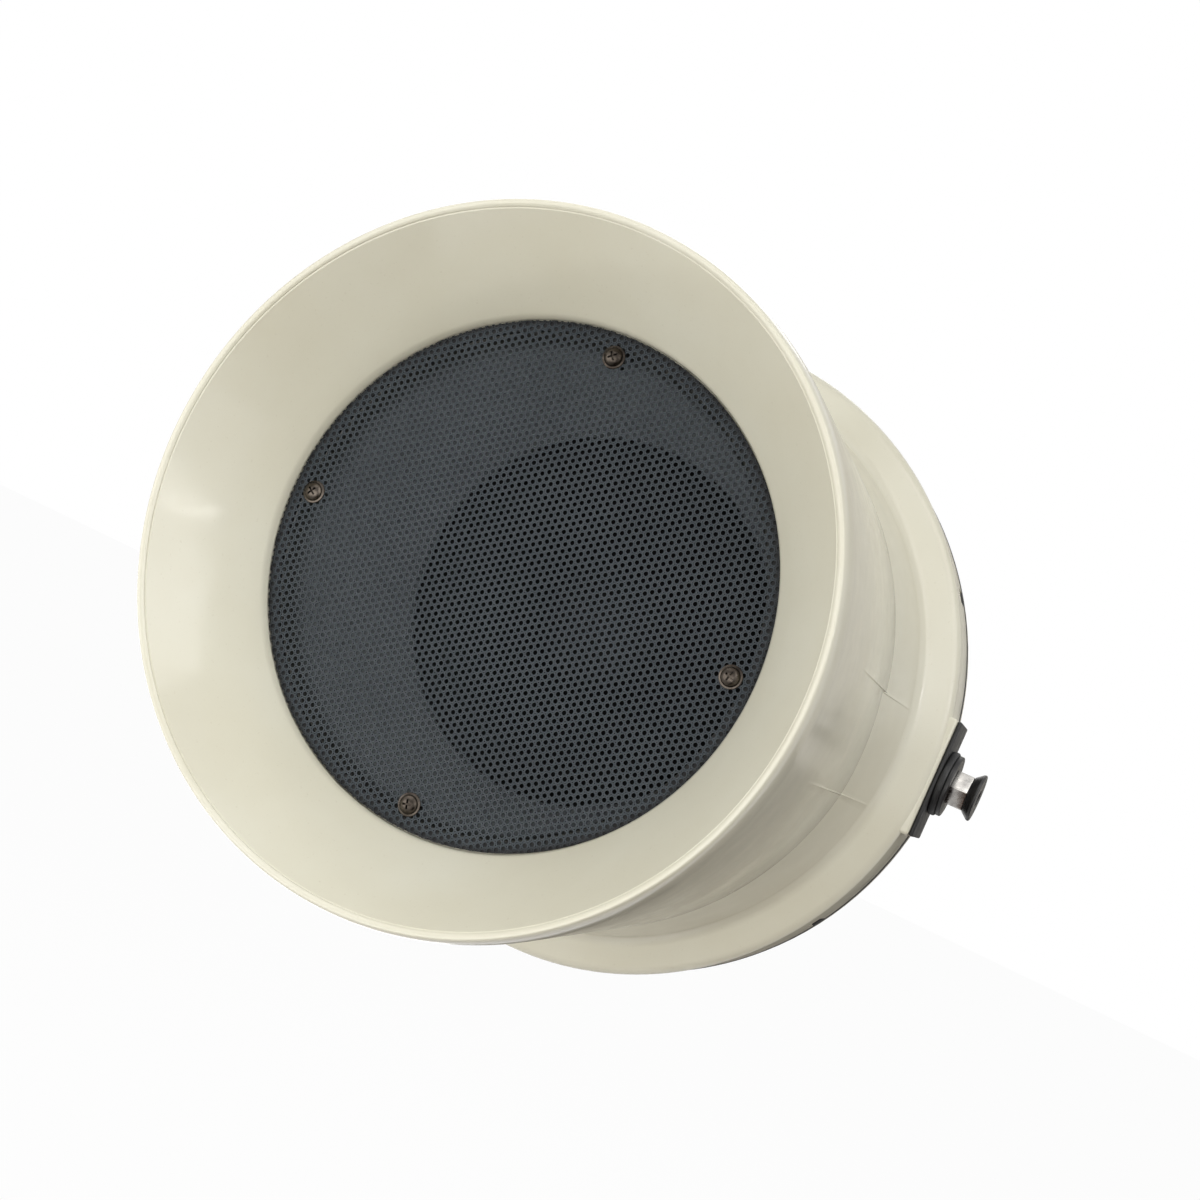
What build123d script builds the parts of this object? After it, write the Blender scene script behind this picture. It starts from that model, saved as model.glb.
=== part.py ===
from build123d import *
import os
from math import asin, cos, sin, radians, sqrt

os.makedirs("parts", exist_ok=True)

# Round outdoor loudspeaker. The axis runs along Y and the mouth faces -Y.
# Depths are measured rearwards from the front of the rim.
# The origin lies where the tilt axis through the two side posts crosses the axis.

# Housing
mouth_d = 240.0
rim_r = 4.2
wall = 3.4
grille_seat_d = 184.0
lip_depth = 38.5
ledge_w = 5.0
opening_d = 144.4
opening_depth = 125.5
baffle_w = 24.0
waist_d = 234.6
waist_depth = 134.0
waist_step = 1.3
neck_end_d = 242.8
neck_end_depth = 178.5
shoulder_w = 15.3
shoulder_len = 9.5
barrel_len = 30.0
barrel_wall = 4.5
notch_angle = 32.3
notch_w = 9.0
notch_len = 3.0

# Side bosses and tilt posts
boss_w = 50.0
boss_len = 28.0
boss_proud = 0.5
insert_r = 6.0
insert_len = 15.0
thread_r = 4.0
thread_gap = 0.05
pad_t = 1.8
cushion_r = 13.6
cushion_t = 3.0
washer_r = 12.8
washer_t = 2.0
hex_af = 14.0
hex_len = 7.0
collar_r = 9.8
collar_t = 4.0
post_hole_r = 2.5
post_hole_len = 12.0

# Grille
grille_t = 0.6
grille_gap = 0.6
grille_pad_t = 1.4
grille_screw_inset = 9.0
grille_screws_n = 4
grille_head_r = 3.3
grille_flange_r = 4.1
grille_head_h = 2.2
grille_shank_r = 1.6
grille_shank_len = 11.0
perf_r = 4.6
perf_pitch = 17.0
perf_rings = 4

# Loudspeaker unit
basket_d = 165.0
basket_flange_t = 2.0
basket_t = 1.2
basket_depth = 36.0
spider_well = 7.0
spider_seat_w = 9.5
window_w = 48.0
window_edge = 5.5
strip_w = 18.0
strip_t = 2.4
strip_len = 10.0
unit_gasket_t = 1.5
unit_screw_pcd = 156.0
unit_screws_n = 4
unit_shank_r = 1.9
unit_shank_len = 12.5
cone_edge_r = 61.0
cone_t = 0.8
roll_t = 1.0
coil_r = 13.1
former_t = 0.5
coil_t = 0.6
coil_len = 10.0
coil_gap = 0.4
cone_travel = 3.0
cap_r = 24.0
magnet_d = 90.0
magnet_t = 15.0
plate_d = 80.0
plate_t = 5.0

# Rear cover and cable gland
seal_t = 2.5
seal_proud = 0.2
cover_flange_t = 4.0
cover_t = 3.2
cover_depth = 19.5
dish_inset = 36.0
cover_screws_n = 8
cover_screw_r = 2.0
cover_screw_len = 18.0
gland_z = -62.0
gland_thread_r = 10.0
gland_af = 24.0
gland_nut_len = 14.0
gland_bore_r = 4.5
gland_thread_len = 8.0
locknut_len = 5.0
lead_r = 1.1
lead_bend = 6.0
lead_clear = 5.0
lead_pitch = 10.0
block_len = 12.0
block_w = 26.0
block_h = 16.0

# Clearances
seat_gap = 0.3
hole_gap = 0.3

# Derived places
mouth_r = mouth_d / 2
lip_r = grille_seat_d / 2
grille_screw_pcd = 2 * (lip_r - grille_screw_inset)
opening_r = opening_d / 2
waist_r = waist_d / 2
neck_r = neck_end_d / 2
barrel_r = neck_r + shoulder_w
barrel_front = neck_end_depth + shoulder_len
barrel_in = barrel_r - barrel_wall
barrel_back = barrel_front + barrel_len
pivot_depth = barrel_front - 1.0 + boss_len / 2
ledge_depth = lip_depth + grille_t + grille_pad_t + 2.7
grille_front = ledge_depth - grille_pad_t - grille_t
boss_x = barrel_r + boss_proud
pad_x = boss_x + pad_t
cushion_x = pad_x + cushion_t
hex_x = cushion_x + washer_t
collar_x = hex_x + hex_len
flange_front = opening_depth + unit_gasket_t
flange_back = flange_front + basket_flange_t
basket_r = basket_d / 2


def at(radius, depth):
    return (radius, depth - pivot_depth)


def turned(*corners):
    outline = Polyline(*[at(r, d) for r, d in corners], close=True)
    return revolve(make_face(outline), axis=Axis.Y)


def rod(radius, d0, d1, x=0.0, z=0.0):
    body = Rot(90, 0, 0) * Cylinder(radius, d1 - d0)
    return Pos(x, (d0 + d1) / 2 - pivot_depth, z) * body


def tube(r_in, r_out, d0, d1, x=0.0, z=0.0):
    return rod(r_out, d0, d1, x, z) - rod(r_in, d0 - 1, d1 + 1, x, z)


def block(x0, x1, d0, d1, z0, z1):
    body = Box(x1 - x0, d1 - d0, z1 - z0)
    return Pos((x0 + x1) / 2, (d0 + d1) / 2 - pivot_depth, (z0 + z1) / 2) * body


def side_rod(radius, x0, x1):
    return Pos((x0 + x1) / 2, 0, 0) * Rot(0, 90, 0) * Cylinder(radius, x1 - x0)


def side_tube(r_in, r_out, x0, x1):
    return side_rod(r_out, x0, x1) - side_rod(r_in, x0 - 1, x1 + 1)


def both_sides(shape):
    return [shape, mirror(shape, about=Plane.YZ)]


def spots(pcd, count, start=0.0):
    turns = [radians(start + 360.0 * i / count) for i in range(count)]
    return [(pcd / 2 * cos(t), pcd / 2 * sin(t)) for t in turns]


def hexagon(across, d0, d1, x=0.0, z=0.0):
    body = extrude(RegularPolygon(across / 2, 6, major_radius=False), d1 - d0)
    return Pos(x, d0 - pivot_depth, z) * Rot(-90, 0, 0) * body


def filled(pieces):
    face = make_face([edge for piece in pieces for edge in piece.edges()]).face()
    return face if face.normal_at().Z > 0 else -face


def soften(face, corners):
    for radius, depth, size in corners:
        spot = Vector(*at(radius, depth), 0)
        nearest = face.vertices().sort_by(lambda v: (Vector(v) - spot).length)[0]
        face = fillet(nearest, size)
    return face


def save(node, shapes):
    solids = [s for shape in shapes for s in shape.solids()]
    body = solids[0] if len(solids) == 1 else Compound(children=solids)
    export_step(body, f"parts/{node}.step")


def screw(x, z, seat, head_r, head_h, shank_r, shank_len, flange_r=0.0, facing=-1):
    # The head stands off the seat on the facing side, and the shank runs the other way.
    top = seat + facing * head_h
    dome = head_h * 0.45
    shape = rod(head_r, *sorted((seat, top)), x, z)
    crown = shape.edges().sort_by(Axis.Y)[0 if facing < 0 else -1]
    shape = fillet(crown, dome)
    if flange_r:
        shape += rod(flange_r, *sorted((seat, seat + facing * head_h * 0.25)), x, z)
    shape += rod(shank_r, *sorted((seat, seat - facing * shank_len)), x, z)
    slot = sorted((top - facing * head_h * 0.5, top + facing))
    long, short = head_r * 0.62, head_r * 0.13
    shape -= block(x - long, x + long, *slot, z - short, z + short)
    shape -= block(x - short, x + short, *slot, z - long, z + long)
    return shape


# Front moulding: rim, flare, grille ledge, throat and baffle in front,
# outer wall, waist, neck and rear barrel around them, open to the rear.
bead = mouth_r - rim_r
bead_in = radians(200)
bead_end = (bead + rim_r * cos(bead_in), rim_r + rim_r * sin(bead_in))
flare_top = (bead_end[0] - 0.9, bead_end[1] + 2.2)
chord = (lip_r - flare_top[0], lip_depth - flare_top[1])
chord_len = sqrt(chord[0] ** 2 + chord[1] ** 2)
sag = 0.03 * chord_len
flare_mid = (
    (flare_top[0] + lip_r) / 2 - sag * chord[1] / chord_len,
    (flare_top[1] + lip_depth) / 2 + sag * chord[0] / chord_len,
)
throat_in = lip_r - ledge_w
throat_end = opening_depth - wall
back_mid = (flare_mid[0] + wall * 0.86, flare_mid[1] + wall * 0.5)
neck_front = waist_r - waist_step
neck_in = neck_front - wall
face_in = (neck_r + 0.17 * shoulder_w, neck_end_depth + 0.36 * shoulder_len)
face_out = (barrel_r - 0.14 * shoulder_w, barrel_front - 0.25 * shoulder_len)
shoulder_soft = 0.17 * min(shoulder_w, 1.6 * shoulder_len)
cavity_front = 2.2 * rim_r
outline = [
    ThreePointArc(at(mouth_r, rim_r), at(bead, 0), at(*bead_end)),
    Line(at(*bead_end), at(*flare_top)),
    ThreePointArc(at(*flare_top), at(*flare_mid), at(lip_r, lip_depth)),
    Polyline(
        at(lip_r, lip_depth),
        at(lip_r, ledge_depth),
        at(throat_in, ledge_depth),
        at(opening_r, throat_end),
        at(opening_r, opening_depth),
        at(opening_r + baffle_w, opening_depth),
        at(opening_r + baffle_w, opening_depth - wall),
        at(opening_r + wall, opening_depth - wall),
        at(throat_in + wall, ledge_depth + wall),
        at(lip_r + wall, ledge_depth + wall),
        at(lip_r + wall, lip_depth + 1),
    ),
    ThreePointArc(
        at(lip_r + wall, lip_depth + 1), at(*back_mid), at(bead_end[0] + 0.6, cavity_front)
    ),
    Polyline(
        at(bead_end[0] + 0.6, cavity_front),
        at(mouth_r - wall, cavity_front),
        at(waist_r - wall, waist_depth - 1.5),
        at(neck_in, waist_depth + 3),
        at(neck_r - wall, neck_end_depth + 2),
        at(face_in[0] - 0.7 * wall, face_in[1] + 1.2 * wall),
        at(barrel_in - 0.35 * wall, barrel_front + 0.55 * wall),
        at(barrel_in, barrel_front + wall),
        at(barrel_in, barrel_back),
        at(barrel_r, barrel_back),
        at(barrel_r, barrel_front),
        at(*face_out),
        at(*face_in),
        at(neck_r, neck_end_depth),
        at(neck_front, waist_depth + waist_step),
        at(waist_r, waist_depth),
        at(mouth_r, rim_r),
    ),
]
section = filled(outline)
section = soften(
    section,
    [
        (face_out[0], face_out[1], shoulder_soft),
        (barrel_r, barrel_front, 0.6 * shoulder_soft),
        (face_in[0], face_in[1], 1.5 * shoulder_soft),
        (neck_r, neck_end_depth, 1.1 * shoulder_soft),
        (opening_r, throat_end, 1.2),
        (throat_in, ledge_depth, 0.8),
        (waist_r, waist_depth, 0.5),
    ],
)
housing = revolve(section, axis=Axis.Y)
boss_front = barrel_front - 1.0
boss = block(barrel_in - 2.2, boss_x, boss_front, boss_front + boss_len, -boss_w / 2, boss_w / 2)
boss = fillet(boss.edges().filter_by(Axis.X), 2.0)
boss += side_rod(2 * insert_r, boss_x - insert_len - 4.0, boss_x - 1)
bore = side_rod(insert_r, boss_x - insert_len, boss_x + 1)
bore += side_rod(thread_r + 1, boss_x - insert_len - 2.0, boss_x)
for side in both_sides(boss):
    housing += side
for side in both_sides(bore):
    housing -= side
grille_holes = spots(grille_screw_pcd, grille_screws_n)
post_top = grille_front + grille_t
for x, z in grille_holes:
    housing += rod(grille_shank_r + 2.8, post_top, ledge_depth + 14, x, z)
    housing -= rod(grille_shank_r, post_top - 1, post_top + grille_shank_len + 1, x, z)
unit_holes = spots(unit_screw_pcd, unit_screws_n, 45)
for x, z in unit_holes:
    housing += rod(unit_shank_r + 1.6, opening_depth - 13, opening_depth - 1, x, z)
    housing -= rod(unit_shank_r, opening_depth - 11, opening_depth + 1, x, z)
cover_pcd = 2 * (barrel_in - 4.0)
cover_holes = spots(cover_pcd, cover_screws_n, 22.5)
for x, z in cover_holes:
    housing += rod(cover_screw_r + 2.5, barrel_back - 18, barrel_back, x, z)
    housing -= rod(cover_screw_r, barrel_back - 15, barrel_back + 1, x, z)
notch_ends = (barrel_back - notch_len, barrel_back + 1)
notch = block(barrel_in - 3, barrel_r + 3, *notch_ends, -notch_w / 2, notch_w / 2)
for turn in (notch_angle, -notch_angle, 180 + notch_angle, 180 - notch_angle):
    housing -= Rot(0, turn, 0) * notch
save("housing", [housing])

# Perforated grille on a soft ring, held by four screws
grille_r = lip_r - grille_gap
grille = rod(grille_r, grille_front, grille_front + grille_t)
for i in range(-perf_rings, perf_rings + 1):
    for j in range(-perf_rings, perf_rings + 1):
        if abs(i + j) <= perf_rings:
            x = perf_pitch * (i + j / 2)
            z = perf_pitch * j * sqrt(3) / 2
            grille -= rod(perf_r, grille_front - 1, grille_front + grille_t + 1, x, z)
for x, z in grille_holes:
    grille -= rod(grille_shank_r + hole_gap, grille_front - 1, grille_front + grille_t + 1, x, z)
save("grille", [grille])
ring_in = grille_screw_pcd / 2 + grille_shank_r + 2.8 + seat_gap
save("grille_pad_ring", [tube(ring_in, grille_r, grille_front + grille_t, ledge_depth)])
grille_head = (grille_head_r, grille_head_h)
grille_shank = (grille_shank_r - 0.1, grille_shank_len)
grille_screws = []
for x, z in grille_holes:
    grille_screws.append(screw(x, z, grille_front, *grille_head, *grille_shank, grille_flange_r))
save("grille_screws", grille_screws)

# Loudspeaker unit: soft ring, basket and screws
gasket_in = opening_r + 0.8
unit_gasket = tube(gasket_in, basket_r - 0.5, opening_depth, flange_front)
for x, z in unit_holes:
    unit_gasket -= rod(unit_shank_r + hole_gap, opening_depth - 1, flange_front + 1, x, z)
save("unit_gasket", [unit_gasket])
ledge_r = magnet_d / 2 - spider_seat_w + 0.3
spider_seat = flange_front + basket_depth
stack_front = spider_seat + spider_well
frame_top = opening_r - 2.2
basket = turned(
    (frame_top, flange_front),
    (basket_r, flange_front),
    (basket_r, flange_back),
    (frame_top + 2, flange_back),
    (ledge_r + spider_seat_w, spider_seat + basket_t),
    (ledge_r, spider_seat + basket_t),
    (ledge_r, stack_front),
    (coil_r + 3, stack_front),
    (coil_r + 3, stack_front - basket_t),
    (ledge_r - basket_t, stack_front - basket_t),
    (ledge_r - basket_t, spider_seat),
    (ledge_r + spider_seat_w - 0.9 * basket_t, spider_seat),
    (frame_top, flange_front + 1.3),
)
window_ends = (flange_back + window_edge, spider_seat - window_edge)
window = block(ledge_r + 4, basket_r + 4, *window_ends, -window_w / 2, window_w / 2)
for turn in (0, 90, 180, 270):
    basket -= Rot(0, turn, 0) * window
for x, z in unit_holes:
    basket -= rod(unit_shank_r + hole_gap, flange_front - 1, flange_back + 1, x, z)
save("basket", [basket])
save(
    "unit_screws",
    [screw(x, z, flange_back, 3.6, 2.4, unit_shank_r - 0.1, unit_shank_len, 0.0, 1) for x, z in unit_holes],
)

# Magnet stack behind the basket
pole_r = coil_r - former_t - coil_gap
plate_bore = coil_r + coil_t + coil_gap
magnet_front = stack_front + plate_t
magnet_back = magnet_front + magnet_t
save("top_plate", [tube(plate_bore, plate_d / 2, stack_front, magnet_front)])
save("magnet", [tube(plate_bore + 2, magnet_d / 2, magnet_front, magnet_back)])
yoke = rod(plate_d / 2, magnet_back, magnet_back + plate_t)
yoke += rod(pole_r, stack_front, magnet_back + 1)
save("yoke", [yoke])

# Moving parts: cone, cap, former and coil, hung from the surround and the spider
edge_front = flange_front
cone_slope = 22.5 / 43.85
lip_in = cone_edge_r - 4.0
neck_depth = edge_front + (lip_in - coil_r) * cone_slope
cone = turned(
    (cone_edge_r, edge_front),
    (lip_in, edge_front),
    (coil_r + 0.05, neck_depth),
    (coil_r + 0.05, neck_depth + 1.6),
    (lip_in + 0.4, edge_front + cone_t),
    (cone_edge_r, edge_front + cone_t),
)
save("cone", [cone])
cap_edge = edge_front + (lip_in - cap_r) * cone_slope - seat_gap - 0.6
cap_h = 7.4
cap_t = 0.6
cap_ball = (cap_r**2 + cap_h**2) / (2 * cap_h)
cap_mid_d = cap_edge - cap_h + cap_ball


def cap_spot(radius, share):
    turn = asin(cap_r / cap_ball) * share
    return at(radius * sin(turn), cap_mid_d - radius * cos(turn))


cap_outline = [
    ThreePointArc(cap_spot(cap_ball, 1), cap_spot(cap_ball, 0.5), cap_spot(cap_ball, 0)),
    Line(cap_spot(cap_ball, 0), cap_spot(cap_ball - cap_t, 0)),
    ThreePointArc(
        cap_spot(cap_ball - cap_t, 0), cap_spot(cap_ball - cap_t, 0.5), cap_spot(cap_ball - cap_t, 1)
    ),
    Line(cap_spot(cap_ball - cap_t, 1), cap_spot(cap_ball, 1)),
]
save("dust_cap", [revolve(filled(cap_outline), axis=Axis.Y)])
coil_mid = stack_front + plate_t / 2
save("coil_former", [tube(coil_r - former_t, coil_r, neck_depth - 2.5, coil_mid + coil_len / 2 + 0.5)])
save("voice_coil", [tube(coil_r, coil_r + coil_t, coil_mid - coil_len / 2, coil_mid + coil_len / 2)])
roll_in = cone_edge_r
roll_out = frame_top - 0.8
roll_mid = (roll_in + roll_out) / 2
roll_r = (roll_out - roll_in) / 2
rim_front = edge_front - roll_t
surround_outline = [
    Polyline(
        at(roll_in, rim_front),
        at(lip_in + 0.6, rim_front),
        at(lip_in + 0.6, edge_front),
        at(roll_in + roll_t, edge_front),
    ),
    ThreePointArc(
        at(roll_in + roll_t, edge_front),
        at(roll_mid, edge_front - roll_r + roll_t),
        at(roll_out - roll_t, edge_front),
    ),
    Polyline(
        at(roll_out - roll_t, edge_front),
        at(gasket_in - 0.3, edge_front),
        at(gasket_in - 0.3, rim_front),
        at(roll_out, rim_front),
    ),
    ThreePointArc(at(roll_out, rim_front), at(roll_mid, rim_front - roll_r + 0.4), at(roll_in, rim_front)),
]
save("surround", [revolve(filled(surround_outline), axis=Axis.Y)])
spider_t = 0.6
wave_h = 1.6
waves = 7
spider_out = ledge_r + 0.38 * spider_seat_w
wave_w = (ledge_r - coil_r - 2) / waves
crests = []
for i in range(waves + 1):
    crest_depth = spider_seat - spider_t - (wave_h if i % 2 else 0.0)
    crests.append((coil_r + 1 + wave_w * i, crest_depth))
front_line = [(coil_r, crests[0][1])] + crests + [(spider_out, spider_seat - spider_t)]
crests_end = [(r, d + spider_t) for r, d in reversed(front_line)]
front_line[-2] = (front_line[-2][0], spider_seat - spider_t)
crests_end[1] = (crests_end[1][0], spider_seat)
save("spider", [turned(*front_line, *crests_end)])

# Connection strip on the basket, block on the cover and two leads between them
strip_z = ledge_r + 0.7 * spider_seat_w
strip_end = spider_seat + basket_t + strip_len
strip_faces = (strip_z - strip_t / 2, strip_z + strip_t / 2)
strip = block(-strip_w / 2, strip_w / 2, strip_end - strip_len, strip_end, *strip_faces)
cover_front = barrel_back + seal_t
cover_back = cover_front + cover_depth
cover_floor = cover_back - cover_t
lead_run = magnet_d / 2 + lead_r + lead_clear
lead_start = strip_end - 0.4 * strip_len
lead_end = cover_floor - block_len
block_faces = (lead_run - block_h / 2, lead_run + block_h / 2)
terminal = block(-block_w / 2, block_w / 2, lead_end, cover_floor, *block_faces)
leads = []
for x in (-lead_pitch / 2, lead_pitch / 2):
    points = [
        (x, lead_start - pivot_depth, strip_faces[1] + 0.05),
        (x, lead_start - pivot_depth, lead_run),
        (x, lead_end - 0.1 - pivot_depth, lead_run),
    ]
    route = FilletPolyline(*points, radius=lead_bend)
    start = Plane(origin=points[0], z_dir=Vector(*points[1]) - Vector(*points[0]))
    leads.append(sweep(start * Circle(lead_r), path=route))
save("unit_terminals", [strip])
save("terminal_block", [terminal])
save("lead_red", leads[:1])
save("lead_black", leads[1:])

# Rear cover on its seal, with screws into the barrel
seal_in = barrel_in - 9.0
seal = tube(seal_in, barrel_r + seal_proud, barrel_back, cover_front)
spigot_r = seal_in - 0.8
cover_section = make_face(
    Polyline(
        *[
            at(r, d)
            for r, d in [
                (0, cover_back),
                (barrel_r - dish_inset, cover_back),
                (spigot_r - 1.2, cover_front + cover_flange_t),
                (barrel_r, cover_front + cover_flange_t),
                (barrel_r, cover_front),
                (spigot_r, cover_front),
                (spigot_r, barrel_back - 3),
                (spigot_r - cover_t, barrel_back - 3),
                (spigot_r - cover_t - 0.6, cover_front + 2.0),
                (barrel_r - dish_inset - cover_t / 2, cover_floor),
                (0, cover_floor),
            ]
        ],
        close=True,
    )
)
cover_section = soften(
    cover_section,
    [
        (barrel_r - dish_inset, cover_back, 9.0),
        (barrel_r - dish_inset - cover_t / 2, cover_floor, 6.0),
        (barrel_r, cover_front + cover_flange_t, 1.2),
        (spigot_r - 1.2, cover_front + cover_flange_t, 1.5),
    ],
)
cover = revolve(cover_section, axis=Axis.Y)
for x, z in cover_holes:
    seal -= rod(cover_screw_r + hole_gap, barrel_back - 1, cover_front + 1, x, z)
    cover -= rod(cover_screw_r + hole_gap, cover_front - 1, cover_front + cover_flange_t + 1, x, z)
cover -= rod(gland_thread_r + hole_gap, cover_floor - 1, cover_back + 1, 0, gland_z)
save("cover_seal", [seal])
save("rear_cover", [cover])
save(
    "cover_screws",
    [
        screw(x, z, cover_front + cover_flange_t, 3.8, 2.6, cover_screw_r - 0.1, cover_screw_len, 0.0, 1)
        for x, z in cover_holes
    ],
)

# Cable gland through the cover
shoulder_t = 5.0
nut_front = cover_back + shoulder_t
gland_in = gland_bore_r + 3.0
gland_front = cover_floor - gland_thread_len
gland = rod(gland_thread_r, gland_front, cover_back, 0, gland_z)
gland += hexagon(gland_af, cover_back, nut_front, 0, gland_z)
gland -= rod(gland_in, gland_front - 1, nut_front + 1, 0, gland_z)
save("gland_body", [gland])
lock = hexagon(gland_af, cover_floor - locknut_len, cover_floor, 0, gland_z)
lock -= rod(gland_thread_r + thread_gap, gland_front - 1, cover_floor + 1, 0, gland_z)
save("gland_locknut", [lock])
nut_end = nut_front + gland_nut_len
nut = rod(gland_af / 2, nut_front, nut_end, 0, gland_z)
nut = fillet(nut.edges().sort_by(Axis.Y)[-1], 3.0)
ribs = hexagon(gland_af, nut_front, nut_front + gland_nut_len * 0.6, 0, gland_z)
nut += ribs
nut -= rod(gland_in, nut_front - 1, nut_end - 3, 0, gland_z)
nut -= rod(gland_bore_r + 0.8, nut_end - 4, nut_end + 1, 0, gland_z)
save("gland_nut", [nut])
save("gland_seal", [tube(gland_bore_r, gland_in, nut_front - 1, nut_end - 3, 0, gland_z)])

# Tilt posts: insert in the boss, pad, cushion, washer, hexagon post and end collar
insert = side_tube(thread_r + thread_gap, insert_r, boss_x - insert_len, boss_x)
save("pivot_inserts", both_sides(insert))
pad_front = boss_front + 0.5
pad = block(boss_x, pad_x, pad_front, pad_front + boss_len - 1.0, 0.5 - boss_w / 2, boss_w / 2 - 0.5)
pad -= side_rod(thread_r + hole_gap, boss_x - 1, pad_x + 1)
save("pivot_pads", both_sides(pad))
cushion = side_tube(thread_r + hole_gap, cushion_r, pad_x, cushion_x)
save("pivot_cushions", both_sides(cushion))
washer = side_tube(thread_r + hole_gap, washer_r, cushion_x, hex_x)
save("pivot_washers", both_sides(washer))
post = side_rod(thread_r, boss_x - insert_len + 1.0, hex_x + 1)
prism = extrude(RegularPolygon(hex_af / 2, 6, major_radius=False), hex_len)
post += Pos(hex_x, 0, 0) * Rot(0, 90, 0) * prism
post -= side_rod(post_hole_r, collar_x - post_hole_len, collar_x + 1)
save("pivot_posts", both_sides(post))
collar_in = post_hole_r + 0.8
collar = Rot(0, 90, 0) * Cone(hex_af / 2 + 0.3, collar_r, collar_t * 0.75)
collar = Pos(collar_x + collar_t * 0.375, 0, 0) * collar
collar += side_rod(collar_r, collar_x + collar_t * 0.75, collar_x + collar_t)
collar -= side_rod(collar_in, collar_x - 1, collar_x + collar_t + 1)
save("pivot_collars", both_sides(collar))
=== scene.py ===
from math import atan2, ceil, cos, hypot, pi, radians, sin, sqrt

import bmesh
import bpy
from mathutils import Matrix, Vector


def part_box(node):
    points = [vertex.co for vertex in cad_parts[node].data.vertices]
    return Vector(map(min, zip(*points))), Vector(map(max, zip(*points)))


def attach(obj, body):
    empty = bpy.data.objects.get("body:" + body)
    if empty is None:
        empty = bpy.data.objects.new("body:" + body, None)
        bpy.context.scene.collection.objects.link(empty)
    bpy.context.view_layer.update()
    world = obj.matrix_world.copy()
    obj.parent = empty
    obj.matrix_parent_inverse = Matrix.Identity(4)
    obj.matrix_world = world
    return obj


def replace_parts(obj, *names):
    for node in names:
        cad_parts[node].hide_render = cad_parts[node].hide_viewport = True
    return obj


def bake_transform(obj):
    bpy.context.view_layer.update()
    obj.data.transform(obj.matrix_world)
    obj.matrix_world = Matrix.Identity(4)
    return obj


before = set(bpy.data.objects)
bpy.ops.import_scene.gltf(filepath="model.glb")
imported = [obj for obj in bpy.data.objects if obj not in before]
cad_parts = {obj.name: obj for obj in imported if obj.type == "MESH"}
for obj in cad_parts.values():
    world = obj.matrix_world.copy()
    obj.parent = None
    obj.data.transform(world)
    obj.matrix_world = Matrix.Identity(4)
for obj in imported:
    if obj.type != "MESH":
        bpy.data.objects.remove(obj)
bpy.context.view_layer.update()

# The speaker's axis runs along Y and its mouth faces -Y.
# Sizes are in millimetres; depths are measured rearwards from the front of the rim.
MM = 0.001
RIM_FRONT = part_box("housing")[0].y / MM

# Faces that meet at a larger angle than this, in degrees, keep a sharp edge
SHARP = 32.0
SHARP_SMALL = 40.0

# Front moulding
MOUTH_R = 120.0
BEAD_R = 2.1
BEAD_END_TURN = 214.0
EDGE_LEN = 11.0
EDGE_STEPS = 14
BEAD_LINE_W = 0.8
BEAD_LINE_H = 0.35
FLARE_SAG = 0.012
WALL = 3.4
WALL_STEPS = 12
CAVITY_FRONT = 10.5
CAVITY_FLARE_R = 114.7
LIP_R = 92.0
LIP_DEPTH = 38.5
LEDGE_R = 87.0
LEDGE_DEPTH = 43.2
OPENING_R = 72.2
OPENING_DEPTH = 125.5
BAFFLE_R = 96.2
WAIST_R = 117.3
WAIST_DEPTH = 134.0
WAIST_STEP = 2.0
NECK_R = 121.4
NECK_DEPTH = 178.5
BARREL_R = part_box("housing")[1].z / MM
BARREL_FRONT = 188.0
BARREL_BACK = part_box("housing")[1].y / MM - RIM_FRONT
BARREL_WALL = 4.5
TURN_STEPS = 192
NOTCH_ANGLES = (32.3, -32.3, 147.7, -147.7)
NOTCH_W = 6.0
NOTCH_LEN = 15.0
NOTCH_DEEP = 2.8
NOTCH_EDGE = 1.2
NOTCH_PAST = 4.0

# Side bosses and the seam that the sliding core left on the moulding
BOSS_W = 50.0
BOSS_LEN = 28.0
BOSS_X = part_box("housing")[1].x / MM
BOSS_EDGE = 1.4
SEAM_Z = 20.5
SEAM_W = 0.8
SEAM_H = 0.4
SEAM_FRONT = 52.0
SEAM_FADE_FRONT = 50.0
SEAM_FADE_BACK = 6.0
CORE_SHIFT = 9.0
CORE_BAND = 2.4

# Soft rings
SEAL_IN = BARREL_R - BARREL_WALL - 9.0
SEAL_LAP = 1.6
SEAL_EDGE = 0.3
SEAL_BULGE = 0.6
COVER_SCREWS = 8
COVER_SCREW_CIRCLE_R = BARREL_R - BARREL_WALL - 4.0
COVER_HOLE_R = 2.3
COVER_HOLE_LEN = 9.0
SURROUND_SECTORS = 16
SURROUND_IN = 57.6
SURROUND_OUT = 72.7
ROLL_IN = 61.0
ROLL_OUT = 69.2
ROLL_T = 1.0
ROLL_H = 3.7
ROLL_H_BACK = 3.1

# Grille sheet
GRILLE_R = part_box("grille")[1].x / MM
GRILLE_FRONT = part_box("grille")[0].y / MM
GRILLE_T = (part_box("grille")[1].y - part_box("grille")[0].y) / MM
HOLE_PITCH = 2.5
HOLE_R = 0.84
HOLE_SIDES = 12
SHEET_TURN = 3.0
EDGE_CUTS = 96

# Grille screws
SCREW_FLANGE_R = 4.1
SCREW_HEAD_R = 3.3
SCREW_HEAD_H = 2.2
SCREW_SHANK_R = 1.5
SCREW_CIRCLE_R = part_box("grille_screws")[1].x / MM - SCREW_FLANGE_R
SCREW_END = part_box("grille_screws")[1].y / MM
SCREW_TURNS = (17.0, 52.0, 33.0, 74.0)
RECESS_LONG = 2.1
RECESS_SHORT = 0.42
RECESS_DEEP = 1.25
RECESS_TAPER = 0.62

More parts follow.
